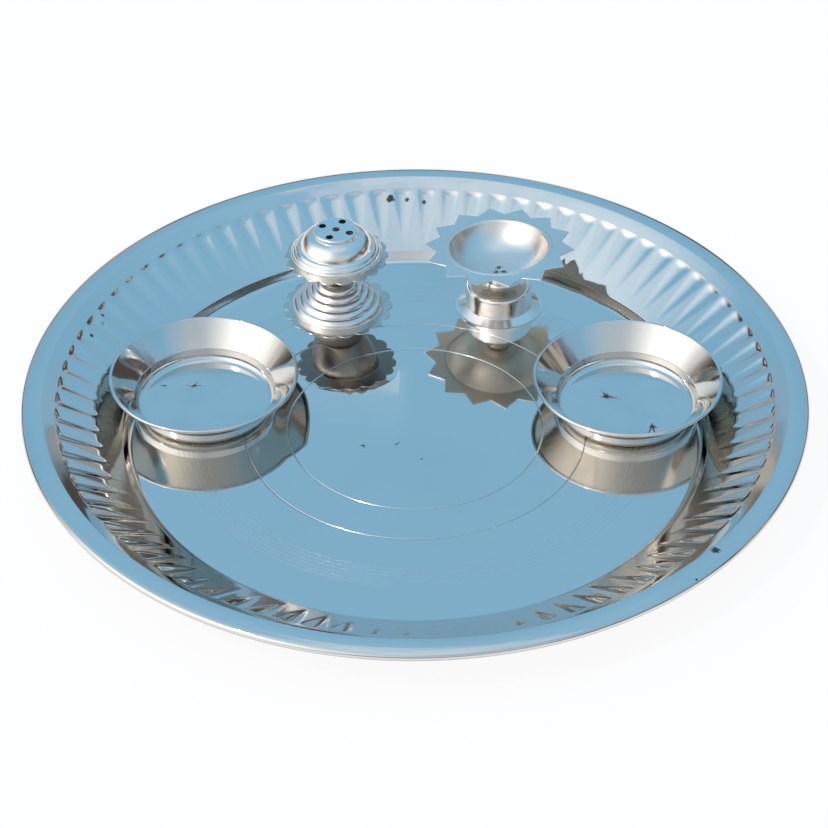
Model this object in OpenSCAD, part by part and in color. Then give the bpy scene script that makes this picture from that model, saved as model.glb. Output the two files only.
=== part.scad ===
// Puja thali: a fluted steel tray that carries two bowls, an incense stand and an oil lamp.
// Millimetres, +Z up. The origin is the middle of the tray's underside; the viewer's side is -Y.
// Every vessel is pressed sheet, so each one is a section walked from its axis outwards and then spun.

/* [Tray] */
// Diameter of the tray over its rolled edge
tray_d = 305; // [295:1:320]
// Thickness of the tray's sheet
tray_sheet = 0.6; // [0.5:0.1:0.9]
// Diameter of the flat floor
floor_d = 221.4; // [220:0.2:226]
// Height of the step around the floor
riser_h = 3.7; // [3.4:0.1:5]
// Slope of that step
riser_angle = 52; // [46:1:60]
// Slope of the fluted wall
wall_angle = 33; // [28:1:38]
// Width of the plain rim, from the wall's crease to the edge
rim_w = 8.4; // [7:0.2:12]
// Outer radius of the rolled edge
roll_r = 1.5; // [1.2:0.1:2]

/* [Flutes] */
// Number of flutes around the wall
flute_count = 84; // [60:1:88]
// Distance from the foot of the wall to the flutes, along the wall
flute_start = 1.7; // [1:0.1:4]
// Plain band left above the flutes, along the wall
flute_band = 5.6; // [4:0.1:9]
// Width of a flute at its upper end
flute_w = 8.0; // [6:0.1:8.8]
// Depth of a flute at its upper end
flute_depth = 0.8; // [0.6:0.1:1.1]
// Depth that is left of it at its lower end
flute_fade = 0.1; // [0.1:0.05:0.4]

/* [Bowls] */
// Diameter of a bowl over its rim
bowl_d = 75; // [70:1:80]
// Thickness of the vessels' sheet
vessel_sheet = 0.5; // [0.4:0.1:0.6]
// Diameter of a bowl's upright band, inside
bowl_band_d = 55.4; // [52:0.2:56]
// Height of the upright band above the bowl's floor
bowl_band_h = 5.1; // [4.4:0.1:8]
// Slope of the flared lip
bowl_lip_angle = 48; // [42:1:56]
// Corner radius between the bowl's floor and its band
bowl_corner_r = 3; // [2:0.1:4]
// Outer radius of a vessel's rolled rim
bead_r = 0.8; // [0.7:0.05:1.2]
// Gap between the left bowl's flat base and the edge of the tray's flat floor
bowl_left_gap = 0.9; // [0.9:0.1:12]
// Gap between the right bowl's flat base and the edge of the tray's flat floor
bowl_right_gap = 1.1; // [0.9:0.1:12]
// Direction of the left bowl from the middle of the tray
bowl_left_turn = 169.4; // [155:0.2:200]
// Direction of the right bowl from the middle of the tray
bowl_right_turn = 8.4; // [-20:0.2:20]

/* [Incense stand] */
// Gap between the stand's foot and the edge of the tray's flat floor
incense_gap = 33.4; // [16:0.2:40]
// Direction of the stand from the middle of the tray
incense_turn = 117.5; // [112:0.5:125]
// Radius of the foot where it stands on the tray
foot_r = 9.2; // [8:0.1:11]
// Height of the lower scalloped flange above the tray's floor
low_flange_z = 15; // [13:0.5:18]
// Tip radius of the lower flange
low_flange_r = 22.3; // [21.4:0.1:24]
// Tip radius of the upper flange
high_flange_r = 20.9; // [20.6:0.1:23]
// Number of scallops around each flange
scallops = 18; // [12:1:24]
// Radius of one scallop
scallop_r = 4; // [3.6:0.1:5]
// Radius of the lower dome's edge
low_dome_r = 18.8; // [18.2:0.1:19.4]
// Number of rings pressed into the lower dome
low_rings = 5; // [4:1:6]
// Slope of the lower dome
low_dome_angle = 44; // [40:1:48]
// Radius of the flat top of the lower dome
low_top_r = 6.6; // [6.2:0.1:8]
// Radius of the neck between the two halves
neck_r = 4.9; // [4.5:0.1:5.6]
// Height of the upper half's cup, from the lower dome's top to its flange
neck_cup_h = 12; // [11:0.5:15]
// Radius of the upper dome's edge
high_dome_r = 18.5; // [18:0.1:19]
// Height of the upper dome above its flange
high_dome_h = 12.4; // [12:0.2:15]
// Radius of the raised cap that holds the sticks
cap_r = 8.9; // [8.8:0.1:10]
// Diameter of a hole for an incense stick
stick_d = 3; // [2:0.1:3.4]
// Radius of the circle of outer stick holes
stick_circle_r = 6; // [5.6:0.1:6.1]
// Turn of that circle, anticlockwise seen from above
stick_turn = -24; // [-45:1:45]

/* [Oil lamp] */
// Gap between the pedestal's brim and the edge of the tray's flat floor
lamp_gap = 5.3; // [3:0.1:16]
// Direction of the lamp from the middle of the tray
lamp_turn = 66.3; // [60:0.1:75]
// Radius of the pedestal's brim
brim_r = 17.8; // [17:0.1:20]
// Radius of the pedestal's drum
drum_r = 14.1; // [13.4:0.1:14.6]
// Height of the drum's shoulder above the tray's floor
drum_h = 11.8; // [10:0.2:14]
// Height of the bead where the drum meets the brim's skirt
skirt_h = 2.8; // [2.2:0.1:4]
// Height of the seat that carries the dish, above the tray's floor
seat_h = 19.8; // [19:0.2:24]
// Radius of the pedestal's neck
lamp_neck_r = 5.2; // [4.8:0.1:5.8]
// Tip radius of the star plate
star_r = 31; // [29:0.5:34]
// Radius at the notches of the star plate
notch_r = 26; // [25:0.2:28]
// Number of points on the star plate
star_points = 14; // [10:1:18]
// Turn of the star, anticlockwise seen from above
star_turn = 18.6; // [0:0.2:25.6]
// Radius of the dish's bead, at its outer foot
dish_r = 22.6; // [22:0.1:24]
// Depth of the dish, from its bead to its floor
dish_depth = 9.8; // [8:0.1:11]
// Lean of the star plate away from the viewer, as welded
lean_back = 3; // [0:0.5:3]
// Lean of the star plate to the left, as welded
lean_left = 2; // [0:0.5:2]

/* [Hidden] */
$fn = 96;

steel = [0.76, 0.80, 0.84];
worn_steel = [0.70, 0.72, 0.74];
bright_steel = [0.84, 0.86, 0.88];

// A bend is drawn in flats that stay this close to its true arc
bend_error = 0.02;
// Two sheets of one pressing lap by this much where a flange joins a spun section
lap = 0.6;
// Cuts run past the faces they open by this much
past = 1;

// ---- Sections -------------------------------------------------------------------------------
// A section is a list of steps from the axis outwards: [length] runs on, [radius, turn] bends left
function heading(dir) = [cos(dir), sin(dir)];
function leftward(dir) = [-sin(dir), cos(dir)];

function flats_in(radius, turn) =
    radius > bend_error ? ceil(abs(turn) / (2 * acos(1 - bend_error / radius))) : 1;

function bend_points(at, dir, radius, turn) =
    let (flats = flats_in(radius, turn), side = sign(turn), hub = at + radius * side * leftward(dir))
    [for (k = [1:flats]) hub - radius * side * leftward(dir + turn * k / flats)];

function walk(steps, at, dir = 0, i = 0) =
    i == len(steps) ? [at] :
    let (step = steps[i])
    len(step) == 1
        ? concat([at], walk(steps, at + step[0] * heading(dir), dir, i + 1))
        : let (arc = bend_points(at, dir, step[0], step[1]), last = len(arc) - 1)
          concat([at], [for (k = [0:1:last - 1]) arc[k]], walk(steps, arc[last], dir + step[1], i + 1));

// Reach and rise of one bend, for sections that have to meet a stated size
function bend_reach(radius, from, to) = radius * abs(sin(to) - sin(from));
function bend_rise(radius, from, to) = radius * abs(cos(to) - cos(from));

function end_of(steps) = let (line = walk(steps, [0, 0])) line[len(line) - 1];

function unit(v) = v / norm(v);
function right_normal(a, b) = let (d = unit(b - a)) [d[1], -d[0]];

// Points that coincide are dropped, so that every edge of a section has a direction
function distinct(points) =
    [for (i = [0:len(points) - 1]) if (i == 0 || norm(points[i] - points[i - 1]) > 0.001) points[i]];

function mitre(points, i) =
    let (last = len(points) - 1,
         before = right_normal(points[max(i, 1) - 1], points[max(i, 1)]),
         after = right_normal(points[min(i, last - 1)], points[min(i, last - 1) + 1]))
    (before + after) / (1 + before * after);

// Sheet of one thickness that lies to the right of a walked line
function sheet(points, thickness) =
    concat(points, [for (i = [len(points) - 1:-1:0]) points[i] + thickness * mitre(points, i)]);

module spun_sheet(steps, start, thickness, dir = 0) {
    rotate_extrude() polygon(sheet(distinct(walk(steps, start, dir)), thickness));
}

// ---- Tray -----------------------------------------------------------------------------------
tray_r = tray_d / 2;
floor_r = floor_d / 2;
floor_top = tray_sheet;
riser_fillet = 3;
shoulder_r = 2;
crease_r = 1.5;
crown_start = 8;
crown_end = -22;
curl_turn = -235;

riser_run = (riser_h - bend_rise(riser_fillet, 0, riser_angle)
    - bend_rise(shoulder_r, riser_angle, wall_angle)) / sin(riser_angle);
wall_foot = [
    floor_r + bend_reach(riser_fillet, 0, riser_angle) + riser_run * cos(riser_angle)
        + bend_reach(shoulder_r, riser_angle, wall_angle),
    floor_top + riser_h
];
crown_radius = (rim_w - bend_reach(crease_r, wall_angle, crown_start)
    - bend_reach(roll_r, crown_end, -90)) / (sin(crown_start) - sin(crown_end));
wall_run = (tray_r - rim_w - wall_foot[0]) / cos(wall_angle);

// The pressing is joined from three spun lengths; each end of the fluted one is square to the wall
hem = 0.8;
ring_from = wall_foot + hem * heading(wall_angle);
ring_to = wall_foot + (wall_run - hem) * heading(wall_angle);
floor_steps = [
    [floor_r], [riser_fillet, riser_angle], [riser_run], [shoulder_r, wall_angle - riser_angle], [hem],
];
rim_steps = [
    [hem], [crease_r, crown_start - wall_angle], [crown_radius, crown_end - crown_start], [roll_r, curl_turn],
];

// A flute is the mark of a round bar that dips into the wall towards the rim, so that it widens as it deepens
flute_len = wall_run - flute_start - flute_band;
bar_r = flute_w * flute_w / (8 * flute_depth) + flute_depth / 2;
bar_tilt = atan2(flute_depth - flute_fade, flute_len);

module flute_bar(swell) {
    translate([0, 0, -flute_fade]) rotate([0, 90 + bar_tilt, 0]) translate([-bar_r, 0, -swell])
        cylinder(h = flute_len / cos(bar_tilt) + 2 * swell, r = bar_r + swell);
}

// Places its children at the foot of every flute, with X up the wall and Z square to it
module at_flutes() {
    for (i = [0:flute_count - 1])
        rotate([0, 0, (i + 0.5) * 360 / flute_count])
            translate([wall_foot[0], 0, wall_foot[1]]) rotate([0, -wall_angle, 0])
                translate([flute_start, 0, 0]) children();
}

// The back of a flute, from the middle of the sheet down
module flute_back() {
    intersection() {
        flute_bar(tray_sheet);
        translate([-flute_len / 2, -flute_w, -2 * bar_r - tray_sheet / 2])
            cube([2 * flute_len, 2 * flute_w, 2 * bar_r]);
    }
}

module fluted_ring() {
    difference() {
        union() {
            rotate_extrude() polygon(sheet([ring_from, ring_to], tray_sheet));
            at_flutes() flute_back();
        }
        at_flutes() flute_bar(0);
    }
}

module tray() {
    color(steel) {
        spun_sheet(floor_steps, [0, floor_top], tray_sheet);
        fluted_ring();
        spun_sheet(rim_steps, ring_to, tray_sheet, wall_angle);
    }
}

// ---- Bowls ----------------------------------------------------------------------------------
// Every vessel stands on the tray's floor, a stated gap in from its edge
function place_of(base_r, gap, turn) = (floor_r - base_r - gap) * heading(turn);
module on_tray(place) { translate([place[0], place[1], floor_top]) children(); }

band_lean = 86;
bowl_crease_r = 0.7;
bead_turn = -215;
bowl_floor_r = bowl_band_d / 2 - bend_reach(bowl_corner_r, 0, band_lean);
band_run = (bowl_band_h - bend_rise(bowl_corner_r, 0, band_lean)) / sin(band_lean);
bowl_base_steps = [
    [bowl_floor_r], [bowl_corner_r, band_lean], [band_run], [bowl_crease_r, bowl_lip_angle - band_lean],
];
lip_run = (bowl_d / 2 - end_of(bowl_base_steps)[0] - bend_reach(bead_r, bowl_lip_angle, -90))
    / cos(bowl_lip_angle);

module bowl() {
    spun_sheet(concat(bowl_base_steps, [[lip_run], [bead_r, bead_turn]]), [0, vessel_sheet], vessel_sheet);
}

module bowl_at(gap, turn) { color(worn_steel) on_tray(place_of(bowl_floor_r, gap, turn)) bowl(); }
module bowl_left() { bowl_at(bowl_left_gap, bowl_left_turn); }
module bowl_right() { bowl_at(bowl_right_gap, bowl_right_turn); }

// ---- Incense stand --------------------------------------------------------------------------
incense_at = place_of(foot_r, incense_gap, incense_turn);

module scalloped_flange(tip_r, inner_r) {
    linear_extrude(vessel_sheet) difference() {
        union() {
            circle(tip_r - scallop_r + scallop_r / 4);
            for (i = [0:scallops - 1])
                rotate(i * 360 / scallops) translate([tip_r - scallop_r, 0]) circle(scallop_r);
        }
        circle(inner_r);
    }
}

foot_start = 54;
foot_end = 85;
foot_corner_r = 1;
flange_corner_r = 1.2;
foot_curve = (low_flange_z - vessel_sheet - bend_rise(foot_corner_r, 0, foot_start)
    - bend_rise(flange_corner_r, foot_end, 0)) / (cos(foot_start) - cos(foot_end));
foot_steps = [
    [foot_r - bend_reach(foot_corner_r, 0, foot_start)], [foot_corner_r, foot_start],
    [foot_curve, foot_end - foot_start], [flange_corner_r, -foot_end],
];

// Lower half's cup, with the scalloped flange around it
module incense_foot_cup() {
    color(worn_steel) on_tray(incense_at) {
        spun_sheet(concat(foot_steps, [[lap]]), [0, vessel_sheet], vessel_sheet);
        translate([0, 0, low_flange_z - vessel_sheet]) scalloped_flange(low_flange_r, end_of(foot_steps)[0]);
    }
}

// One pressed ring falls at the stated slope, full at its middle, and ends in a tight groove
groove_r = 0.35;
ring_swell = 25;
function ring_back(length) = [length / (2 * sin(ring_swell)), -2 * ring_swell];
function ring(length) = [ring_back(length), [groove_r, 2 * ring_swell]];

// Lower dome, ringed from its flat top down to the flange
dome_edge_h = 1.4;
function low_steps(length) = concat(
    [[low_top_r], [groove_r, ring_swell - low_dome_angle]],
    [for (i = [1:low_rings], step = ring(length)) step],
    [[groove_r, low_dome_angle - ring_swell - 90], [dome_edge_h]]);
low_dome_steps = low_steps((low_dome_r - end_of(low_steps(0))[0]) / low_rings / cos(low_dome_angle));
low_dome_h = -end_of(low_dome_steps)[1];
low_top_z = low_flange_z + low_dome_h;

module incense_lower_dome() {
    color(steel) on_tray(incense_at) translate([0, 0, low_flange_z])
        spun_sheet(low_dome_steps, [0, low_dome_h], vessel_sheet);
}

// Upper half's cup: a neck that flares out under the second flange
neck_corner_r = 0.8;
neck_lean = 86;
flare_r = 5;
flare_angle = 24;
flare_run = 5.6;
flare_edge_r = 2;
function neck_steps(rise) = [
    [neck_r - bend_reach(neck_corner_r, 0, neck_lean)], [neck_corner_r, neck_lean], [rise / sin(neck_lean)],
    [flare_r, flare_angle - neck_lean], [flare_run], [flare_edge_r, -flare_angle],
];
neck_cup_steps = neck_steps(neck_cup_h - vessel_sheet - end_of(neck_steps(0))[1]);

module incense_neck_cup() {
    color(worn_steel) on_tray(incense_at) translate([0, 0, low_top_z]) {
        spun_sheet(concat(neck_cup_steps, [[lap]]), [0, vessel_sheet], vessel_sheet);
        translate([0, 0, neck_cup_h - vessel_sheet])
            scalloped_flange(high_flange_r, end_of(neck_cup_steps)[0]);
    }
}

// Upper dome: a raised cap, a rounded shoulder, two rings, each with its own width and slope, and an edge
cap_edge_r = 0.9;
cap_lean = 82;
cap_wall = 0.8;
shoulder_from = -14;
shoulder_to = -74;
first_ring_w = 1.9;
first_ring_angle = 34;
second_ring_w = 1.5;
second_ring_angle = 46;
edge_from = -24;
edge_r = 1.1;
function high_steps(shoulder, edge) = [
    [cap_r - bend_reach(cap_edge_r, 0, cap_lean)], [cap_edge_r, -cap_lean], [cap_wall],
    [groove_r, shoulder_from + cap_lean], [shoulder, shoulder_to - shoulder_from],
    [groove_r, ring_swell - first_ring_angle - shoulder_to], ring_back(first_ring_w),
    [groove_r, 2 * ring_swell + first_ring_angle - second_ring_angle], ring_back(second_ring_w),
    [groove_r, edge_from + second_ring_angle + ring_swell], [edge_r, -90 - edge_from], [edge],
];
cap_shoulder_r = (high_dome_r - end_of(high_steps(0, 0))[0]) / (sin(-shoulder_to) - sin(-shoulder_from));
high_edge_h = high_dome_h + end_of(high_steps(cap_shoulder_r, 0))[1];
high_flange_z = low_top_z + neck_cup_h;

outer_sticks = 4;
module stick_holes() {
    turns = [for (i = [0:outer_sticks - 1]) stick_turn + i * 360 / outer_sticks];
    for (at = concat([[0, 0]], [for (turn = turns) stick_circle_r * heading(turn)]))
        translate([at[0], at[1], high_dome_h - vessel_sheet - past])
            cylinder(h = vessel_sheet + 2 * past, d = stick_d);
}

module incense_top_dome() {
    color(bright_steel) on_tray(incense_at) translate([0, 0, high_flange_z]) difference() {
        spun_sheet(high_steps(cap_shoulder_r, high_edge_h), [0, high_dome_h], vessel_sheet);
        stick_holes();
    }
}

// ---- Oil lamp -------------------------------------------------------------------------------
lamp_at = place_of(brim_r, lamp_gap, lamp_turn);
lean = [-lean_back, -lean_left, 0];

// Pedestal: a seat on a neck, a flat-shouldered drum, a skirt and a brim that stands on the tray
seat_corner_r = 0.8;
seat_lean = 84;
lamp_flare_r = 3.4;
lamp_flare_end = -10;
crest_r = 10.2;
drum_corner_r = 2.4;
drum_lean = 87;
skirt_angle = 36;
brim_bend_r = 1;
function seat_steps(fall) = [
    [lamp_neck_r - bend_reach(seat_corner_r, 0, seat_lean)], [seat_corner_r, -seat_lean],
    [fall / sin(seat_lean)], [lamp_flare_r, seat_lean + lamp_flare_end],
];
neck_fall = seat_h - drum_h + end_of(seat_steps(0))[1]
    - (crest_r - end_of(seat_steps(0))[0]) * tan(-lamp_flare_end);
seat_reach = end_of(seat_steps(neck_fall))[0];
function drum_steps(flat, fall) = concat(seat_steps(neck_fall), [
    [(crest_r - seat_reach) / cos(lamp_flare_end)], [groove_r, -lamp_flare_end], [flat],
    [drum_corner_r, -drum_lean], [fall / sin(drum_lean)], [groove_r, drum_lean - skirt_angle],
]);
drum_fall = seat_h - skirt_h + end_of(drum_steps(0, 0))[1];
drum_flat = drum_r - end_of(drum_steps(0, drum_fall))[0];
skirt_top = end_of(drum_steps(drum_flat, drum_fall));
skirt_run = (seat_h + skirt_top[1] - vessel_sheet - bend_rise(brim_bend_r, skirt_angle, 0))
    / sin(skirt_angle);
pedestal_steps = concat(drum_steps(drum_flat, drum_fall), [[skirt_run], [brim_bend_r, skirt_angle]]);
brim_run = brim_r - end_of(pedestal_steps)[0];

module lamp_pedestal() {
    color(steel) on_tray(lamp_at) difference() {
        spun_sheet(concat(pedestal_steps, [[brim_run]]), [0, seat_h], vessel_sheet);
        // The seat is bedded to the dish, which leans
        translate([0, 0, seat_h]) rotate(lean) cylinder(h = past, r = lamp_neck_r + past);
    }
}

// Dish: a shallow bowl whose beaded rim runs out into the star
dish_toe_r = 2;
dish_toe = 14;
dish_steep = 64;
dish_bead_r = 1.5;
bead_fall = 30;
bead_foot_r = 1;
dish_curve = (dish_depth - bend_rise(dish_toe_r, 0, dish_toe) - bend_rise(dish_bead_r, dish_steep, 0))
    / (cos(dish_toe) - cos(dish_steep));
function dish_steps(flat) = [
    [flat], [dish_toe_r, dish_toe], [dish_curve, dish_steep - dish_toe],
    [dish_bead_r, -dish_steep - bead_fall], [bead_foot_r, bead_fall],
];
dish_floor_r = dish_r - end_of(dish_steps(0))[0];
star_z = vessel_sheet + end_of(dish_steps(0))[1];

module star() {
    linear_extrude(vessel_sheet) difference() {
        polygon([for (i = [0:2 * star_points - 1])
            (i % 2 == 0 ? star_r : notch_r) * heading(star_turn + i * 180 / star_points)]);
        circle(dish_r);
    }
}

module lamp_star_dish() {
    color(bright_steel) on_tray(lamp_at) translate([0, 0, seat_h]) rotate(lean) {
        spun_sheet(concat(dish_steps(dish_floor_r), [[lap]]), [0, vessel_sheet], vessel_sheet);
        translate([0, 0, star_z - vessel_sheet]) star();
    }
}

tray();
bowl_left();
bowl_right();
incense_foot_cup();
incense_lower_dome();
incense_neck_cup();
incense_top_dome();
lamp_pedestal();
lamp_star_dish();
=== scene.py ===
# Puja thali: a polished steel tray with two bowls, an incense stand and an oil lamp
import bpy
import bmesh
import math
from mathutils import Euler, Matrix, Vector


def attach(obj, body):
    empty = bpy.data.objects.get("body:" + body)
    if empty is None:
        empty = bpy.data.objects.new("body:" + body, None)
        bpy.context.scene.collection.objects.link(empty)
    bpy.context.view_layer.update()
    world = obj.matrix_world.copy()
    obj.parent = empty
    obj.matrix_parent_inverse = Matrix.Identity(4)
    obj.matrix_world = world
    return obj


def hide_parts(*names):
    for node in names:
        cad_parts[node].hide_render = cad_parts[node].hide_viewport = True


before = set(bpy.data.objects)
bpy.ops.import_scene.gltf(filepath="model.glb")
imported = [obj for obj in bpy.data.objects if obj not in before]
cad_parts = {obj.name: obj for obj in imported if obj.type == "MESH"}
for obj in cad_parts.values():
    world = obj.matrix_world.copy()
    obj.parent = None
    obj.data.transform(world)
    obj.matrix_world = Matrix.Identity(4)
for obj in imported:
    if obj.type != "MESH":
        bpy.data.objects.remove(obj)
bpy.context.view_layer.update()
print("frame loaded:", len(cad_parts), "nodes")

mm = 0.001
tiny = 1e-6
# edges sharper than this many degrees stay crisp
sharpAngle = 35


# every vessel is a section: a line walked from its axis outwards, in mm

def heading(angle):
    return Vector((math.cos(math.radians(angle)), math.sin(math.radians(angle))))


def leftOf(angle):
    return Vector((-math.sin(math.radians(angle)), math.cos(math.radians(angle))))


def walkSection(steps, start, angle=0.0, flat=6.0):
    # (length,) runs on, (radius, turn) bends left where turn is positive
    at = Vector(start)
    line = [at.copy()]
    for step in steps:
        if len(step) == 1:
            at = at + heading(angle) * step[0]
            line.append(at.copy())
            continue
        radius, turn = step
        side = 1 if turn > 0 else -1
        hub = at + leftOf(angle) * radius * side
        count = max(2, math.ceil(abs(turn) / flat))
        for k in range(1, count + 1):
            line.append(hub - leftOf(angle + turn * k / count) * radius * side)
        angle += turn
        at = line[-1].copy()
    return [p for i, p in enumerate(line) if i == 0 or (p - line[i - 1]).length > 1e-4]


def reach(radius, fromAngle, toAngle):
    return radius * abs(math.sin(math.radians(toAngle)) - math.sin(math.radians(fromAngle)))


def rise(radius, fromAngle, toAngle):
    return radius * abs(math.cos(math.radians(toAngle)) - math.cos(math.radians(fromAngle)))


def endOf(steps):
    return walkSection(steps, (0, 0))[-1]


def backOf(line, thickness):
    # the other face of the sheet, which lies to the right of the walked line
    back = []
    for i, p in enumerate(line):
        normals = []
        for a, b in ((i - 1, i), (i, i + 1)):
            if a >= 0 and b < len(line):
                d = (line[b] - line[a]).normalized()
                normals.append(Vector((d.y, -d.x)))
        n = normals[0] + normals[-1]
        n = n / (1 + normals[0].dot(normals[-1]))
        back.append(p + n * thickness)
    return back


def sheetRows(line, sheet, edge=()):
    # along one face of the sheet, round its edge and back along the other face
    return [(p.x, p.y) for p in line] + list(edge) + [(p.x, p.y) for p in reversed(backOf(line, sheet))]


def edgedRows(line, sheet, outline, ease):
    # the same with an outline that isn't round, its two corners eased
    eased = [r - ease for r in outline]
    top = line[-1].y
    return sheetRows(line, sheet, [(eased, top), (outline, top - ease),
                                   (outline, top - sheet + ease), (eased, top - sheet)])


def placeOf(baseRadius, gap, turn):
    # a vessel stands a stated gap in from the edge of the tray's flat floor
    return heading(turn) * (tray["floorRadius"] - baseRadius - gap)


def spinRows(name, rows, turns, place, tilt=None):
    # rows run from the axis outwards and back again, so the sheet closes on itself;
    # a row is (r, z) or (list of r, z), one r for each of the turns
    bm = bmesh.new()
    loops = []
    for r, z in rows:
        radii = r if isinstance(r, list) else [r] * turns
        if max(radii) < tiny:
            loops.append([bm.verts.new((0, 0, z * mm))])
            continue
        loops.append([bm.verts.new((radii[k] * math.cos(2 * math.pi * k / turns) * mm,
                                    radii[k] * math.sin(2 * math.pi * k / turns) * mm,
                                    z * mm)) for k in range(turns)])
    pairs = list(zip(loops, loops[1:]))
    if len(loops[0]) > 1:
        pairs.append((loops[-1], loops[0]))
    for inner, outer in pairs:
        for k in range(turns):
            n = (k + 1) % turns
            if len(inner) == 1:
                bm.faces.new((inner[0], outer[k], outer[n]))
            elif len(outer) == 1:
                bm.faces.new((inner[k], outer[0], inner[n]))
            else:
                bm.faces.new((inner[k], outer[k], outer[n], inner[n]))
    return meshPiece(name, bm, place, tilt)


def meshPiece(name, bm, place=(0, 0, 0), tilt=None):
    if tilt:
        bmesh.ops.transform(bm, matrix=tilt, verts=bm.verts)
    bmesh.ops.translate(bm, vec=Vector(place) * mm, verts=bm.verts)
    bmesh.ops.recalc_face_normals(bm, faces=bm.faces)
    mesh = bpy.data.meshes.new(name)
    bm.to_mesh(mesh)
    bm.free()
    mesh.polygons.foreach_set("use_smooth", [True] * len(mesh.polygons))
    mesh.set_sharp_from_angle(angle=math.radians(sharpAngle))
    piece = bpy.data.objects.new(name, mesh)
    bpy.context.scene.collection.objects.link(piece)
    return piece


def dress(piece, body, node, material):
    piece.data.materials.append(material)
    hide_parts(node)
    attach(piece, body)
    print("made", piece.name)
    return piece


# how the marks in the steel look; every steel below shares them
marks = {
    "lineDrift": 6, "lineRise": 400, "lineDetail": (4, 0.6),
    "scratchLays": ((0.5, 14), (1.9, 11)), "scratchFrom": 0.70, "scratchEdge": 8,
    "smearFrom": 0.48, "smearEdge": 3, "waveScale": 30,
    "spotTurn": 180, "armScale": 2.2, "armReach": 3.6, "armLeast": 0.25,
    "raggedScale": 900, "raggedShare": 1.3,
    "dimpleFlat": (0.8, 0.4), "scorchFrom": 0.3, "scorchEdge": 3, "scorchRough": 0.25,
    "scorchColor": (0.10, 0.08, 0.07), "underEdge": (-3.0, -0.2),
}


def newGroup(name, inputs, outputs):
    group = bpy.data.node_groups.new(name, "ShaderNodeTree")
    for label, kind, value in inputs:
        socket = group.interface.new_socket(label, in_out="INPUT", socket_type=kind)
        socket.default_value = value
    for label, kind in outputs:
        group.interface.new_socket(label, in_out="OUTPUT", socket_type=kind)
    return group, group.nodes.new("NodeGroupInput"), group.nodes.new("NodeGroupOutput")


def wire(tree, source, target):
    tree.links.new(source, target)


def feed(tree, value, socket):
    if isinstance(value, bpy.types.NodeSocket):
        wire(tree, value, socket)
    else:
        socket.default_value = value


def mathNode(tree, operation, a, b=None, c=None, clamp=False):
    node = tree.nodes.new("ShaderNodeMath")
    node.operation = operation
    node.use_clamp = clamp
    for socket, value in zip(node.inputs, (a, b, c)):
        if value is not None:
            feed(tree, value, socket)
    return node.outputs[0]


def vectorNode(tree, operation, *values):
    node = tree.nodes.new("ShaderNodeVectorMath")
    node.operation = operation
    for socket, value in zip(node.inputs, values):
        feed(tree, value, socket)
    return node.outputs["Value" if operation in ("LENGTH", "DOT_PRODUCT") else "Vector"]


def mixColor(tree, share, a, b):
    node = tree.nodes.new("ShaderNodeMix")
    node.data_type = "RGBA"
    for label, value in (("Factor", share), ("A", a), ("B", b)):
        feed(tree, (*value, 1) if isinstance(value, (tuple, list)) else value, node.inputs[label])
    return node.outputs["Result"]


def rampNode(tree, value, stops, interpolation="LINEAR"):
    ramp = tree.nodes.new("ShaderNodeValToRGB")
    ramp.color_ramp.interpolation = interpolation
    elements = ramp.color_ramp.elements
    while len(elements) < len(stops):
        elements.new(0.5)
    for element, (at, color) in zip(elements, stops):
        element.position = at
        element.color = (*color, 1)
    wire(tree, value, ramp.inputs[0])
    return ramp.outputs["Color"]


def noiseNode(tree, vector, scale, detail, roughness=0.5):
    node = tree.nodes.new("ShaderNodeTexNoise")
    node.inputs["Scale"].default_value = scale
    node.inputs["Detail"].default_value = detail
    node.inputs["Roughness"].default_value = roughness
    wire(tree, vector, node.inputs["Vector"])
    return node.outputs["Fac"]


def radiusNodes(tree, vector, centre):
    # distance from a vertical axis, and the place relative to it
    away = vectorNode(tree, "SUBTRACT", vector, centre)
    return vectorNode(tree, "LENGTH", vectorNode(tree, "MULTIPLY", away, (1, 1, 0))), away


def makeSpinMarks():
    # fine circular lines that the polishing wheel leaves round an axis
    group, given, result = newGroup(
        "spinMarks",
        [("Vector", "NodeSocketVector", (0, 0, 0)), ("Axis", "NodeSocketVector", (0, 0, 0)),
         ("Lines per metre", "NodeSocketFloat", 900.0)],
        [("Lines", "NodeSocketFloat"), ("Radius", "NodeSocketFloat")])
    radius, away = radiusNodes(group, given.outputs["Vector"], given.outputs["Axis"])
    across = mathNode(group, "MULTIPLY", radius, given.outputs["Lines per metre"])
    drift = group.nodes.new("ShaderNodeSeparateXYZ")
    wire(group, away, drift.inputs[0])
    place = group.nodes.new("ShaderNodeCombineXYZ")
    wire(group, across, place.inputs["X"])
    wire(group, mathNode(group, "MULTIPLY", drift.outputs["X"], marks["lineDrift"]), place.inputs["Y"])
    wire(group, mathNode(group, "MULTIPLY", drift.outputs["Z"], marks["lineRise"]), place.inputs["Z"])
    wire(group, noiseNode(group, place.outputs[0], 1.0, *marks["lineDetail"]), result.inputs["Lines"])
    wire(group, radius, result.inputs["Radius"])
    return group


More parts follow.
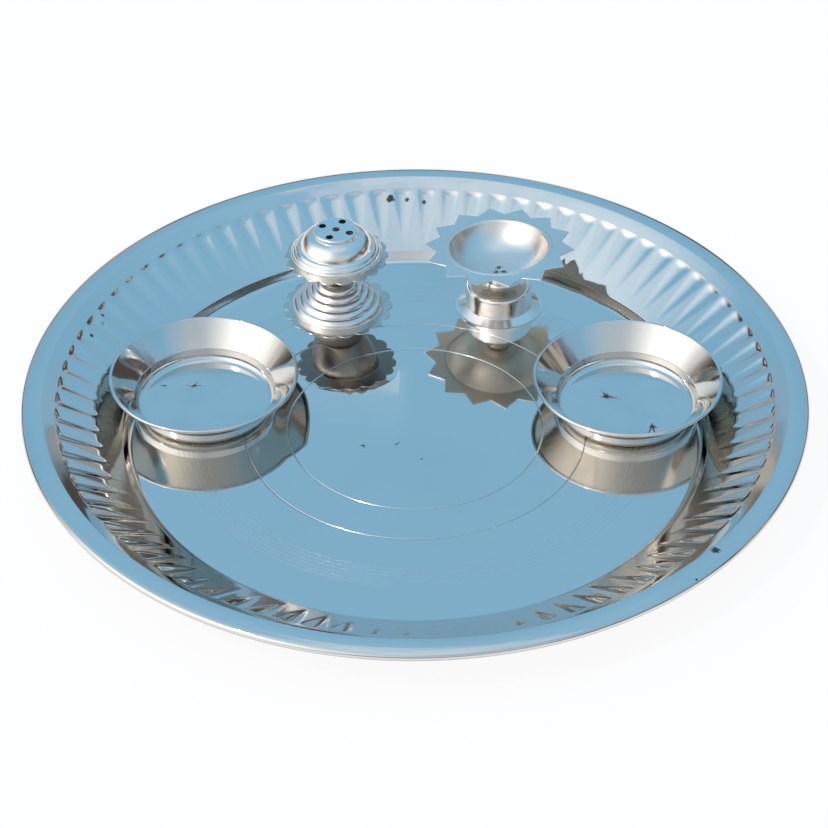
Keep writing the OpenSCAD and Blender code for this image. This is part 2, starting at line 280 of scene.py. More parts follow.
def makeHandling():
    # short scratches and faint smears from use
    group, given, result = newGroup(
        "handling",
        [("Vector", "NodeSocketVector", (0, 0, 0)), ("Scratch scale", "NodeSocketFloat", 60.0),
         ("Smear scale", "NodeSocketFloat", 18.0)],
        [("Scratches", "NodeSocketFloat"), ("Smears", "NodeSocketFloat"), ("Waves", "NodeSocketFloat")])
    scratches = []
    for turn, stretch in marks["scratchLays"]:
        lay = group.nodes.new("ShaderNodeMapping")
        lay.inputs["Rotation"].default_value = (0, 0, turn)
        lay.inputs["Scale"].default_value = (1, stretch, 1)
        wire(group, given.outputs["Vector"], lay.inputs["Vector"])
        cells = group.nodes.new("ShaderNodeTexNoise")
        cells.inputs["Detail"].default_value = 1.0
        wire(group, lay.outputs[0], cells.inputs["Vector"])
        wire(group, given.outputs["Scratch scale"], cells.inputs["Scale"])
        over = mathNode(group, "SUBTRACT", cells.outputs["Fac"], marks["scratchFrom"])
        scratches.append(mathNode(group, "MULTIPLY", over, marks["scratchEdge"], clamp=True))
    wire(group, mathNode(group, "MAXIMUM", *scratches), result.inputs["Scratches"])
    smear = group.nodes.new("ShaderNodeTexNoise")
    smear.inputs["Detail"].default_value = 3.0
    wire(group, given.outputs["Vector"], smear.inputs["Vector"])
    wire(group, given.outputs["Smear scale"], smear.inputs["Scale"])
    over = mathNode(group, "SUBTRACT", smear.outputs["Fac"], marks["smearFrom"])
    wire(group, mathNode(group, "MULTIPLY", over, marks["smearEdge"], clamp=True), result.inputs["Smears"])
    wire(group, noiseNode(group, given.outputs["Vector"], marks["waveScale"], 1.0), result.inputs["Waves"])
    return group


def makeRingLine():
    # one circular mark: 1 on its radius, fading to 0 over its width
    group, given, result = newGroup(
        "ringLine",
        [("Radius", "NodeSocketFloat", 0.0), ("At", "NodeSocketFloat", 0.05),
         ("Half width", "NodeSocketFloat", 0.0004)],
        [("Mark", "NodeSocketFloat")])
    off = mathNode(group, "SUBTRACT", given.outputs["Radius"], given.outputs["At"])
    part = mathNode(group, "DIVIDE", mathNode(group, "ABSOLUTE", off), given.outputs["Half width"])
    near = mathNode(group, "SUBTRACT", 1.0, part, clamp=True)
    smooth = mathNode(group, "MULTIPLY", mathNode(group, "MULTIPLY", near, near),
                      mathNode(group, "SUBTRACT", 3.0, mathNode(group, "MULTIPLY", near, 2.0)))
    wire(group, smooth, result.inputs["Mark"])
    return group


def makeUnderside():
    # 1 where the sheet faces down: those faces are left unpolished, so rougher, and take a darker painted
    #                               shade colour
    group, given, result = newGroup("underside", [], [("Mask", "NodeSocketFloat")])
    parts = group.nodes.new("ShaderNodeSeparateXYZ")
    wire(group, group.nodes.new("ShaderNodeNewGeometry").outputs["Normal"], parts.inputs[0])
    wire(group, mathNode(group, "MULTIPLY_ADD", parts.outputs["Z"], *marks["underEdge"], clamp=True),
         result.inputs["Mask"])
    return group


def makeFloorDent():
    # a ridge pressed into the thin floor: it draws the stand's mirror image together and ends it
    # at an oval edge; the slopes are read along Y, in mm from the place given
    ridge = floorRidge
    group, given, result = newGroup(
        "floorDent",
        [("Vector", "NodeSocketVector", (0, 0, 0)), ("Place", "NodeSocketVector", (0, 0, 0))],
        [("Normal", "NodeSocketVector")])
    parts = group.nodes.new("ShaderNodeSeparateXYZ")
    offset = vectorNode(group, "SUBTRACT", given.outputs["Vector"], given.outputs["Place"])
    wire(group, offset, parts.inputs[0])
    low, high = ridge["reach"]
    along = mathNode(group, "MULTIPLY_ADD", parts.outputs["Y"], 1 / ((high - low) * mm),
                     -low / (high - low), clamp=True)
    slopes = []
    for table in (ridge["inside"], ridge["outside"]):
        # a ramp can't go below zero, so the slopes are lifted and let down again
        stops = [((at - low) / (high - low), [ridge["zero"] + lean] * 3) for at, lean in table]
        slopes.append(mathNode(group, "SUBTRACT", rampNode(group, along, stops), ridge["zero"]))
    (middleX, middleY), (halfX, halfY) = ridge["oval"]
    ovalX = mathNode(group, "MULTIPLY_ADD", parts.outputs["X"], 1 / (halfX * mm), -middleX / halfX)
    ovalY = mathNode(group, "MULTIPLY_ADD", parts.outputs["Y"], 1 / (halfY * mm), -middleY / halfY)
    span = mathNode(group, "SQRT", mathNode(group, "ADD", mathNode(group, "MULTIPLY", ovalX, ovalX),
                                            mathNode(group, "MULTIPLY", ovalY, ovalY)))
    outside = mathNode(group, "SUBTRACT", span, 1.0)
    outside = mathNode(group, "MULTIPLY", outside, ridge["ovalEdge"], clamp=True)
    edge = mathNode(group, "ABSOLUTE", mathNode(group, "ADD", parts.outputs["X"], -ridge["middle"] * mm))
    side = mathNode(group, "SUBTRACT", ridge["half"] * mm, edge)
    side = mathNode(group, "MULTIPLY", side, 1 / (ridge["sideFade"] * mm), clamp=True)
    ends = mathNode(group, "MULTIPLY", mathNode(group, "SUBTRACT", 1.0, along), ridge["endFade"], clamp=True)
    ends = mathNode(group, "MULTIPLY", ends, mathNode(group, "MULTIPLY", along, ridge["endFade"], clamp=True))
    across = mathNode(group, "MULTIPLY_ADD", parts.outputs["X"], -ridge["crossing"], ridge["sideways"])
    tiltX = mathNode(group, "MULTIPLY", mathNode(group, "MULTIPLY", across, ends), side)
    kept = mathNode(group, "MULTIPLY", slopes[0], mathNode(group, "SUBTRACT", 1.0, outside))
    reachX, fade = ridge["beside"]
    beside = mathNode(group, "SUBTRACT", reachX, mathNode(group, "ABSOLUTE", ovalX))
    outside = mathNode(group, "MULTIPLY", outside, mathNode(group, "MULTIPLY", beside, fade, clamp=True))
    tiltY = mathNode(group, "MULTIPLY", mathNode(group, "MULTIPLY_ADD", slopes[1], outside, kept), side)
    tilt = group.nodes.new("ShaderNodeCombineXYZ")
    wire(group, tiltX, tilt.inputs["X"])
    wire(group, tiltY, tilt.inputs["Y"])
    normal = group.nodes.new("ShaderNodeNewGeometry").outputs["Normal"]
    leaning = vectorNode(group, "SUBTRACT", normal, tilt.outputs[0])
    wire(group, vectorNode(group, "NORMALIZE", leaning), result.inputs["Normal"])
    return group


def makeWeldSpot():
    # a small weld dimple, its scorched middle running out in ragged arms
    group, given, result = newGroup(
        "weldSpot",
        [("Vector", "NodeSocketVector", (0, 0, 0)), ("Place", "NodeSocketVector", (0, 0, 0)),
         ("Half width", "NodeSocketFloat", 0.0012)],
        [("Dimple", "NodeSocketFloat"), ("Scorch", "NodeSocketFloat")])
    away, offset = radiusNodes(group, given.outputs["Vector"], given.outputs["Place"])
    # the noise is read by direction, and shifted so that no two spots are alike
    shift = (marks["spotTurn"], marks["spotTurn"], 0)
    turned = vectorNode(group, "MULTIPLY_ADD", given.outputs["Place"], shift,
                        vectorNode(group, "NORMALIZE", offset))
    arms = noiseNode(group, turned, marks["armScale"], 1.0)
    ragged = noiseNode(group, given.outputs["Vector"], marks["raggedScale"], 2.0)
    rough = mathNode(group, "SUBTRACT", ragged, marks["raggedShare"])
    uneven = mathNode(group, "MULTIPLY_ADD", arms, marks["armReach"], rough)
    grown = mathNode(group, "MULTIPLY", away, mathNode(group, "MAXIMUM", uneven, marks["armLeast"]))
    part = mathNode(group, "DIVIDE", grown, given.outputs["Half width"])
    near = mathNode(group, "SUBTRACT", 1.0, part, clamp=True)
    wire(group, mathNode(group, "SMOOTH_MIN", near, *marks["dimpleFlat"]), result.inputs["Dimple"])
    inner = mathNode(group, "SUBTRACT", near, marks["scorchFrom"])
    wire(group, mathNode(group, "MULTIPLY", inner, marks["scorchEdge"], clamp=True), result.inputs["Scorch"])
    return group


floorRidge = {
    "reach": (-80, 20), "middle": 6, "half": 28, "sideFade": 5, "endFade": 12,
    "sideways": 0.11, "crossing": 2.7, "zero": 0.3,
    # middle and half widths of the oval that the mirror image keeps, and how the ridge fades beside it
    "oval": ((3.95, -23.5), (20.4, 14.9)), "ovalEdge": 60, "beside": (1.35, 3),
    # slopes along Y, inside the oval and beyond it
    "inside": [(-76, 0.06), (-37, 0.06), (-4, -0.07), (15, 0.0)],
    "outside": [(-76, 0.0), (-70, 0.03), (-60, 0.085), (-50, 0.16),
                (-39.5, 0.24), (-30, 0.26), (-25, 0.26), (-21, 0.0)],
}

spinMarks = makeSpinMarks()
handling = makeHandling()
ringLine = makeRingLine()
weldSpot = makeWeldSpot()
underside = makeUnderside()
floorDent = makeFloorDent()


def useGroup(tree, group, **values):
    node = tree.nodes.new("ShaderNodeGroup")
    node.node_tree = group
    for label, value in values.items():
        feed(tree, value, node.inputs[label.replace("_", " ")])
    return node


def polishedSteel(name, axis, look, rings=(), bands=(), welds=(), dent=None):
    # mirror steel with spin marks round its axis, scratches, smears, weld spots, and painted shade on faces
    # turned down
    material = bpy.data.materials.new(name)
    material.use_nodes = True
    tree = material.node_tree
    shader = tree.nodes["Principled BSDF"]
    shader.inputs["Metallic"].default_value = 1.0
    coords = tree.nodes.new("ShaderNodeTexCoord").outputs["Object"]
    spin = useGroup(tree, spinMarks, Vector=coords, Axis=Vector((*axis, 0)) * mm,
                    Lines_per_metre=look["lines"])
    used = useGroup(tree, handling, Vector=coords, Scratch_scale=look["scratchScale"],
                    Smear_scale=look["smearScale"])
    height = mathNode(tree, "MULTIPLY", spin.outputs["Lines"], look["lineHeight"])
    height = mathNode(tree, "MULTIPLY_ADD", used.outputs["Waves"], look["waveHeight"], height)
    height = mathNode(tree, "MULTIPLY_ADD", used.outputs["Scratches"], -look["scratchDepth"], height)
    rough = mathNode(tree, "MULTIPLY_ADD", used.outputs["Smears"], look["smearRough"], look["rough"])
    rough = mathNode(tree, "MULTIPLY_ADD", used.outputs["Scratches"], look["scratchRough"], rough)
    for radius, width, depth in rings:
        mark = useGroup(tree, ringLine, Radius=spin.outputs["Radius"], At=radius * mm, Half_width=width * mm)
        height = mathNode(tree, "MULTIPLY_ADD", mark.outputs[0], -depth, height)
        rough = mathNode(tree, "MULTIPLY_ADD", mark.outputs[0], look["ringRough"], rough)
    for radius, width, extra in bands:
        mark = useGroup(tree, ringLine, Radius=spin.outputs["Radius"], At=radius * mm, Half_width=width * mm)
        rough = mathNode(tree, "MULTIPLY_ADD", mark.outputs[0], extra, rough)
    color = mixColor(tree, used.outputs["Smears"], look["color"], look["smearColor"])
    for place, width in welds:
        spot = useGroup(tree, weldSpot, Vector=coords, Place=Vector(place) * mm, Half_width=width * mm)
        height = mathNode(tree, "MULTIPLY_ADD", spot.outputs["Dimple"], -look["markDepth"], height)
        rough = mathNode(tree, "MULTIPLY_ADD", spot.outputs["Scorch"], marks["scorchRough"], rough)
        color = mixColor(tree, spot.outputs["Scorch"], color, marks["scorchColor"])
    # faces turned down are darkened with the painted shade colour, and made rougher
    below = useGroup(tree, underside).outputs[0]
    color = mixColor(tree, below, color, look["underShadeColor"])
    rough = mathNode(tree, "MULTIPLY_ADD", below, look["underRough"], rough)
    bump = tree.nodes.new("ShaderNodeBump")
    bump.inputs["Distance"].default_value = mm
    if dent:
        bent = useGroup(tree, floorDent, Vector=coords, Place=Vector((*dent, 0)) * mm)
        wire(tree, bent.outputs[0], bump.inputs["Normal"])
    bump.inputs["Strength"].default_value = 1.0
    wire(tree, height, bump.inputs["Height"])
    wire(tree, bump.outputs["Normal"], shader.inputs["Normal"])
    wire(tree, color, shader.inputs["Base Color"])
    wire(tree, rough, shader.inputs["Roughness"])
    return material


tray = {
    "radius": 152.5, "sheet": 0.6, "floorRadius": 110.7,
    "riserHeight": 3.7, "riserAngle": 52, "riserFillet": 3, "shoulderRadius": 2,
    "wallAngle": 33, "rimWidth": 8.4, "rollRadius": 1.5, "creaseRadius": 1.5,
    "crownStart": 8, "crownEnd": -22, "curlTurn": -235,
    "flutes": 84, "fluteStart": 1.7, "fluteBand": 5.6, "fluteWidth": 8.0, "fluteDepth": 0.8,
    "fluteFade": 0.1, "fluteDip": 1.7, "fluteEdge": (1.12, 1.4), "fluteEnds": (1.5, 2.6),
    # rows of points up the wall, crowded where the flutes end, and columns of half a flute
    "firstRow": 0.9, "lowRows": (0, 0.5, 1.2, 2.2), "middleSteps": 7,
    "highRows": (3.6, 2.6, 1.8, 1.1, 0.6, 0.25, 0), "lastRows": (0.6, 2.6),
    "columns": [0.0, 0.065, 0.13, 0.19, 0.25, 0.32, 0.41], "floorRing": 0.45,
    "look": {"color": (0.74, 0.725, 0.70), "smearColor": (0.70, 0.68, 0.65), "rough": 0.045,
             "smearRough": 0.03, "scratchRough": 0.05, "scratchScale": 55, "smearScale": 14,
             "lines": 700, "lineHeight": 0.0005, "waveHeight": 0.012, "scratchDepth": 0.002,
             # the under colour is a painted shade for the faces turned down
             "ringRough": 0.2, "markDepth": 0.04, "underShadeColor": (0.45, 0.42, 0.39), "underRough": 0.1},
    # ring lines and matt bands: radius, half width, and depth or added roughness
    "rings": [(50.3, 0.34, 0.2), (67.3, 0.34, 0.2)]
    + [(at, 0.06, 0.038) for at in (84, 85.9, 87.8, 89.7, 91.6, 93.5)],
    "bands": [(86.5, 5.5, 0.08)],
    # rust and dark specks: place and half width
    "specks": [((-126.7, 50.8, 0), 1.8), ((-130, 38.2, 0), 1.9), ((-20.4, -11.8, 0), 0.8),
               ((-7.5, -11.1, 0), 0.7), ((2.6, -20.3, 0), 0.6), ((-44.1, -103.5, 0), 1.2),
               ((-10, 136.1, 0), 2.0), ((-3.1, 135.5, 0), 1.7), ((4.2, 134.7, 0), 1.9),
               ((107.5, -99.7, 0), 0.9), ((99.2, -114.2, 0), 0.9)],
    # where the floor's ridge is placed from: the stand's foot radius, gap and turn
    "ridgeFrom": (9.2, 33.4, 117.5),
}


def makeTray():
    t = tray
    angle = t["wallAngle"]
    riserRun = (t["riserHeight"] - rise(t["riserFillet"], 0, t["riserAngle"])
                - rise(t["shoulderRadius"], t["riserAngle"], angle)) / math.sin(math.radians(t["riserAngle"]))
    floorLine = walkSection([(t["floorRadius"] * t["floorRing"],), (t["floorRadius"] * (1 - t["floorRing"]),),
                             (t["riserFillet"], t["riserAngle"]), (riserRun,),
                             (t["shoulderRadius"], angle - t["riserAngle"])], (0, t["sheet"]), flat=5)
    wallFoot = floorLine[-1]
    wallRun = (t["radius"] - t["rimWidth"] - wallFoot.x) / math.cos(math.radians(angle))
    crown = (t["rimWidth"] - reach(t["creaseRadius"], angle, t["crownStart"])
             - reach(t["rollRadius"], t["crownEnd"], -90)) \
        / (math.sin(math.radians(t["crownStart"])) - math.sin(math.radians(t["crownEnd"])))
    rimLine = walkSection([(t["creaseRadius"], t["crownStart"] - angle),
                           (crown, t["crownEnd"] - t["crownStart"]), (t["rollRadius"], t["curlTurn"])],
                          wallFoot + heading(angle) * wallRun, angle=angle, flat=5)
    lastFlute = wallRun - t["fluteBand"]
    low = [t["fluteStart"] + s for s in t["lowRows"]]
    high = [lastFlute - s for s in t["highRows"]]
    middle = [low[-1] + (high[0] - low[-1]) * k / t["middleSteps"] for k in range(1, t["middleSteps"])]
    fluted = [t["firstRow"]] + low + middle + high + [lastFlute + t["lastRows"][0]]
    plainAt = lastFlute + t["lastRows"][1]
    pitch = 2 * math.pi / t["flutes"]
    fine = [-0.5] + [-s for s in reversed(t["columns"][1:])] + t["columns"]
    # round the plain rows every flute takes four of the same columns
    coarse = [-0.5, -0.25, 0.0, 0.25]
    barRadius = t["fluteWidth"] ** 2 / (8 * t["fluteDepth"]) + t["fluteDepth"] / 2

    def fluteDepthAt(s, radius, part):
        # the mark of a round bar that dips into the wall towards the rim, with its edges eased
        edgeWide, edgeSoft = t["fluteEdge"]
        startFade, endFade = t["fluteEnds"]
        along = (s - t["fluteStart"]) / (lastFlute - t["fluteStart"])
        if not 0 < along < 1:
            return 0.0
        deep = t["fluteFade"] * along + (t["fluteDepth"] - t["fluteFade"]) * along ** t["fluteDip"]
        halfWidth = math.sqrt(2 * barRadius * deep)
        far = abs(part * pitch * radius) / (halfWidth * edgeWide)
        end = min(1.0, (lastFlute - s) / endFade, (s - t["fluteStart"]) / startFade)
        return deep * max(0.0, 1 - far * far) ** edgeSoft * math.sin(end * math.pi / 2)

    bm = bmesh.new()
    cos, sin = math.cos(math.radians(angle)), math.sin(math.radians(angle))

    def plainLoop(p):
        if p.x < tiny:
            return [bm.verts.new((0, 0, p.y * mm))]
        return [bm.verts.new((p.x * math.cos(pitch * (i + c + 0.5)) * mm,
                              p.x * math.sin(pitch * (i + c + 0.5)) * mm, p.y * mm))
                for i in range(t["flutes"]) for c in coarse]

    def flutedLoop(s, drop):
        loop = []
        for i in range(t["flutes"]):
            for f in fine:
                r0 = wallFoot.x + s * cos
                down = drop + fluteDepthAt(s, r0, f)
                r, z = r0 + down * sin, wallFoot.y + s * sin - down * cos
                a = pitch * (i + f + 0.5)
                loop.append(bm.verts.new((r * math.cos(a) * mm, r * math.sin(a) * mm, z * mm)))
        return loop

    def wallPoint(s, drop):
        return Vector((wallFoot.x + s * cos + drop * sin, wallFoot.y + s * sin - drop * cos))

    # the last point only gives the floor's end the direction of the wall
    back = backOf(floorLine + [wallPoint(0.5, 0)], t["sheet"])[:-1]
    rim = [wallPoint(plainAt, 0)] + rimLine
    top = [plainLoop(p) for p in floorLine]
    top += [flutedLoop(s, 0) for s in fluted]
    top += [plainLoop(p) for p in rim]
    under = [plainLoop(p) for p in back]
    under += [flutedLoop(s, t["sheet"]) for s in fluted]
    under += [plainLoop(p) for p in backOf(rim, t["sheet"])]
    loops = top + list(reversed(under))

    def join(a, b):
        if len(a) == 1 or len(b) == 1:
            hub, ring = (a[0], b) if len(a) == 1 else (b[0], a)
            for k in range(len(ring)):
                bm.faces.new((hub, ring[k], ring[(k + 1) % len(ring)]))
        elif len(a) == len(b):
            for k in range(len(a)):
                n = (k + 1) % len(a)
                bm.faces.new((a[k], b[k], b[n], a[n]))
        else:
            few, many = (a, b) if len(a) < len(b) else (b, a)
            cuts = [fine.index(c) for c in coarse]
            for k in range(len(few)):
                n = (k + 1) % len(few)
                i, c = divmod(k, len(coarse))
                start = i * len(fine) + cuts[c]
                stop = i * len(fine) + (cuts[c + 1] if c + 1 < len(coarse) else len(fine))
                run = [many[j % len(many)] for j in range(start, stop + 1)]
                bm.faces.new([few[k], *run, few[n]])

    for a, b in zip(loops, loops[1:]):
        join(a, b)
    return meshPiece("trayPressing", bm)


trayMetal = polishedSteel("traySteel", (0, 0), tray["look"], rings=tray["rings"], bands=tray["bands"],
                          welds=tray["specks"], dent=placeOf(*tray["ridgeFrom"]))
dress(makeTray(), "tray", "tray", trayMetal)


bowls = {
    "diameter": 75, "sheet": 0.5, "bandDiameter": 55.4, "bandHeight": 5.1, "lipAngle": 48,
    "cornerRadius": 3, "beadRadius": 0.8, "beadTurn": -215, "bandLean": 86, "creaseRadius": 0.7,
    "gap": {"left": 0.9, "right": 1.1}, "turn": {"left": 169.4, "right": 8.4}, "turns": 160,
    "look": {"color": (0.74, 0.72, 0.69), "smearColor": (0.66, 0.64, 0.61), "rough": 0.07,
             "smearRough": 0.05, "scratchRough": 0.08, "scratchScale": 90, "smearScale": 40,
             "lines": 1500, "lineHeight": 0.0022, "waveHeight": 0.012, "scratchDepth": 0.003,
             # the under colour is a painted shade for the faces turned down
             "ringRough": 0.12, "markDepth": 0.25, "underShadeColor": (0.66, 0.62, 0.56), "underRough": 0.10},
    "welds": {"left": [((-88.8, 25.9, 1.1), 1.6), ((-100.8, 26.0, 1.1), 0.8)],
              "right": [((76.3, 17.8, 1.1), 2.5), ((93.4, -1.6, 1.1), 2.3)]},
    "rings": {"left": [], "right": [(8.0, 0.3, 0.006)]},
}


def makeBowl(side):
    b = bowls
    floorRadius = b["bandDiameter"] / 2 - reach(b["cornerRadius"], 0, b["bandLean"])
    bandRun = (b["bandHeight"] - rise(b["cornerRadius"], 0, b["bandLean"])) \
        / math.sin(math.radians(b["bandLean"]))
    base = [(floorRadius,), (b["cornerRadius"], b["bandLean"]), (bandRun,),
            (b["creaseRadius"], b["lipAngle"] - b["bandLean"])]
    lip = (b["diameter"] / 2 - endOf(base).x - reach(b["beadRadius"], b["lipAngle"], -90)) \
        / math.cos(math.radians(b["lipAngle"]))
    line = walkSection(base + [(lip,), (b["beadRadius"], b["beadTurn"])], (0, b["sheet"]))
    place = placeOf(floorRadius, b["gap"][side], b["turn"][side])
    metal = polishedSteel(side + "BowlSteel", place, b["look"], rings=b["rings"][side],
                          welds=b["welds"][side])
    bowl = spinRows(side + "Bowl", sheetRows(line, b["sheet"]), b["turns"], (*place, tray["sheet"]))
    dress(bowl, "bowl_" + side, "bowl_" + side, metal)


makeBowl("left")
makeBowl("right")


# wear that the stand's and the lamp's steels have in common, and the painted shade on their faces turned down
wornLookAndUnderShade = {"scratchRough": 0.08, "lineHeight": 0.003, "waveHeight": 0.02, "scratchDepth": 0.003,
            "underShadeColor": (0.42, 0.37, 0.33), "underRough": 0.12}

stand = {
    "gap": 33.4, "turn": 117.5, "sheet": 0.5, "turns": 288,
    "footRadius": 9.2, "footCorner": 1, "footStart": 54, "footEnd": 85, "flangeCorner": 1.2,
    "lowFlangeHeight": 15, "lowFlangeRadius": 22.3, "highFlangeRadius": 20.9,
    "scallops": 18, "scallopRadius": 4, "edgeEase": 0.12,
    "lowDomeRadius": 18.8, "lowRings": 5, "lowDomeAngle": 44, "lowTopRadius": 6.6, "domeEdge": 1.4,
    "grooveRadius": 0.35, "ringSwell": 25,
    "neckRadius": 4.9, "neckCorner": 0.8, "neckLean": 86, "neckCupHeight": 12,
    "flareRadius": 5, "flareAngle": 24, "flareRun": 5.6, "flareEdge": 2,
    "highDomeRadius": 18.5, "highDomeHeight": 12.4, "capRadius": 8.9, "capEdge": 0.9, "capLean": 82,
    "capWall": 0.8, "shoulderFrom": -14, "shoulderTo": -74, "firstRing": (1.9, 34), "secondRing": (1.5, 46),
    "edgeFrom": -24, "edgeRadius": 1.1,
    "holeDiameter": 3, "holeCircle": 6, "holeTurn": -24, "holeSides": 48,
    # the cups, tucked under the flanges and domes, are coloured darker as painted shade, and the domes
    # lighter as painted light
    "shadedCupLook": {"color": (0.66, 0.63, 0.59), "smearColor": (0.54, 0.49, 0.43), "rough": 0.22,
                "smearRough": 0.08, "scratchScale": 120, "smearScale": 60, "lines": 2200, **wornLookAndUnderShade},
    "litDomeLook": {"color": (0.84, 0.81, 0.78), "smearColor": (0.74, 0.70, 0.66), "rough": 0.20,
                 "smearRough": 0.07, "scratchScale": 120, "smearScale": 60, "lines": 2200, **wornLookAndUnderShade},
}
stand["at"] = placeOf(stand["footRadius"], stand["gap"], stand["turn"])


def scallopOutline(tipRadius, turns):
    # outer reach of the joined scallop circles in each direction
    s = stand
    hub, size = tipRadius - s["scallopRadius"], s["scallopRadius"]
    pitch = 2 * math.pi / s["scallops"]
    outline = []
    for k in range(turns):
        a = (2 * math.pi * k / turns + pitch / 2) % pitch - pitch / 2
        outline.append(hub * math.cos(a) + math.sqrt(size ** 2 - (hub * math.sin(a)) ** 2))
    return outline


def flangedCup(name, line, tipRadius, height):
    # a spun cup whose mouth runs out into the scalloped flange
    s = stand
    rows = edgedRows(line, s["sheet"], scallopOutline(tipRadius, s["turns"]), s["edgeEase"])
    return spinRows(name, rows, s["turns"], (*s["at"], tray["sheet"] + height))


def ringBack(length):
    return (length / (2 * math.sin(math.radians(stand["ringSwell"]))), -2 * stand["ringSwell"])


def makeStand():
    s = stand
    groove, swell = s["grooveRadius"], s["ringSwell"]
    curve = (s["lowFlangeHeight"] - s["sheet"] - rise(s["footCorner"], 0, s["footStart"])
             - rise(s["flangeCorner"], s["footEnd"], 0)) \
        / (math.cos(math.radians(s["footStart"])) - math.cos(math.radians(s["footEnd"])))
    footSteps = [(s["footRadius"] - reach(s["footCorner"], 0, s["footStart"]),),
                 (s["footCorner"], s["footStart"]), (curve, s["footEnd"] - s["footStart"]),
                 (s["flangeCorner"], -s["footEnd"])]
    foot = flangedCup("incenseFootCup", walkSection(footSteps, (0, s["sheet"])), s["lowFlangeRadius"], 0)

    def lowSteps(length):
        steps = [(s["lowTopRadius"],), (groove, swell - s["lowDomeAngle"])]
        for _ in range(s["lowRings"]):
            steps += [ringBack(length), (groove, 2 * swell)]
        return steps + [(groove, s["lowDomeAngle"] - swell - 90), (s["domeEdge"],)]

    ringLength = (s["lowDomeRadius"] - endOf(lowSteps(tiny)).x) / s["lowRings"] \
        / math.cos(math.radians(s["lowDomeAngle"]))
    domeHeight = -endOf(lowSteps(ringLength)).y
    lowDome = openDome("incenseLowerDome", lowSteps(ringLength), domeHeight, s["lowFlangeHeight"])

    def neckSteps(run):
        return [(s["neckRadius"] - reach(s["neckCorner"], 0, s["neckLean"]),),
                (s["neckCorner"], s["neckLean"]), (run / math.sin(math.radians(s["neckLean"])),),
                (s["flareRadius"], s["flareAngle"] - s["neckLean"]), (s["flareRun"],),
                (s["flareEdge"], -s["flareAngle"])]

    neckAt = s["lowFlangeHeight"] + domeHeight
    run = s["neckCupHeight"] - s["sheet"] - endOf(neckSteps(tiny)).y
    neck = flangedCup("incenseNeckCup", walkSection(neckSteps(run), (0, s["sheet"])),
                      s["highFlangeRadius"], neckAt)

    def highSteps(shoulder, edge):
        (firstWide, firstAngle), (secondWide, secondAngle) = s["firstRing"], s["secondRing"]
        return [(s["capRadius"] - reach(s["capEdge"], 0, s["capLean"]),), (s["capEdge"], -s["capLean"]),
                (s["capWall"],), (groove, s["shoulderFrom"] + s["capLean"]),
                (shoulder, s["shoulderTo"] - s["shoulderFrom"]),
                (groove, swell - firstAngle - s["shoulderTo"]), ringBack(firstWide),
                (groove, 2 * swell + firstAngle - secondAngle), ringBack(secondWide),
                (groove, s["edgeFrom"] + secondAngle + swell),
                (s["edgeRadius"], -90 - s["edgeFrom"]), (edge,)]

    shoulder = (s["highDomeRadius"] - endOf(highSteps(tiny, tiny)).x) \
        / (math.sin(math.radians(-s["shoulderTo"])) - math.sin(math.radians(-s["shoulderFrom"])))
    edge = s["highDomeHeight"] + endOf(highSteps(shoulder, tiny)).y
    topDome = openDome("incenseTopDome", highSteps(shoulder, edge), s["highDomeHeight"],
                       neckAt + s["neckCupHeight"])
    cutStickHoles(topDome, neckAt + s["neckCupHeight"] + s["highDomeHeight"] + tray["sheet"])
    return foot, lowDome, neck, topDome


def openDome(name, steps, height, at):
    # a dome's outline is round, so it takes half the turns of a scalloped cup
    rows = sheetRows(walkSection(steps, (0, height)), stand["sheet"])
    return spinRows(name, rows, stand["turns"] // 2, (*stand["at"], tray["sheet"] + at))


def cutStickHoles(dome, top):
    # the flat cap is made again as a sheet with five round holes
    s = stand
    holes = [(0.0, 0.0)]
    for k in range(4):
        a = math.radians(s["holeTurn"] + 90 * k)
        holes.append((s["holeCircle"] * math.cos(a), s["holeCircle"] * math.sin(a)))
    cutters = bmesh.new()
    for x, y in holes:
        at = Matrix.Translation(Vector((s["at"][0] + x, s["at"][1] + y, top)) * mm)
        bmesh.ops.create_cone(cutters, cap_ends=True, segments=s["holeSides"],
                              radius1=s["holeDiameter"] / 2 * mm, radius2=s["holeDiameter"] / 2 * mm,
                              depth=4 * s["sheet"] * mm, matrix=at)
    cutter = meshPiece("stickHoleCutter", cutters)
    cut = dome.modifiers.new("stickHoles", "BOOLEAN")
    cut.object = cutter
    cut.solver = "EXACT"
    result = bpy.data.meshes.new_from_object(
        dome.evaluated_get(bpy.context.evaluated_depsgraph_get()))
    dome.modifiers.clear()
    result.set_sharp_from_angle(angle=math.radians(sharpAngle))
    dome.data = result
    bpy.data.objects.remove(cutter)


# the darker cup colour is painted shade, the lighter dome colour painted light
shadedCupMetal = polishedSteel("standCupShadedSteel", stand["at"], stand["shadedCupLook"])
litDomeMetal = polishedSteel("standDomeLitSteel", stand["at"], stand["litDomeLook"])
foot, lowDome, neck, topDome = makeStand()
dress(foot, "incense_stand", "incense_foot_cup", shadedCupMetal)
dress(lowDome, "incense_stand", "incense_lower_dome", litDomeMetal)
dress(neck, "incense_stand", "incense_neck_cup", shadedCupMetal)
dress(topDome, "incense_stand", "incense_top_dome", litDomeMetal)


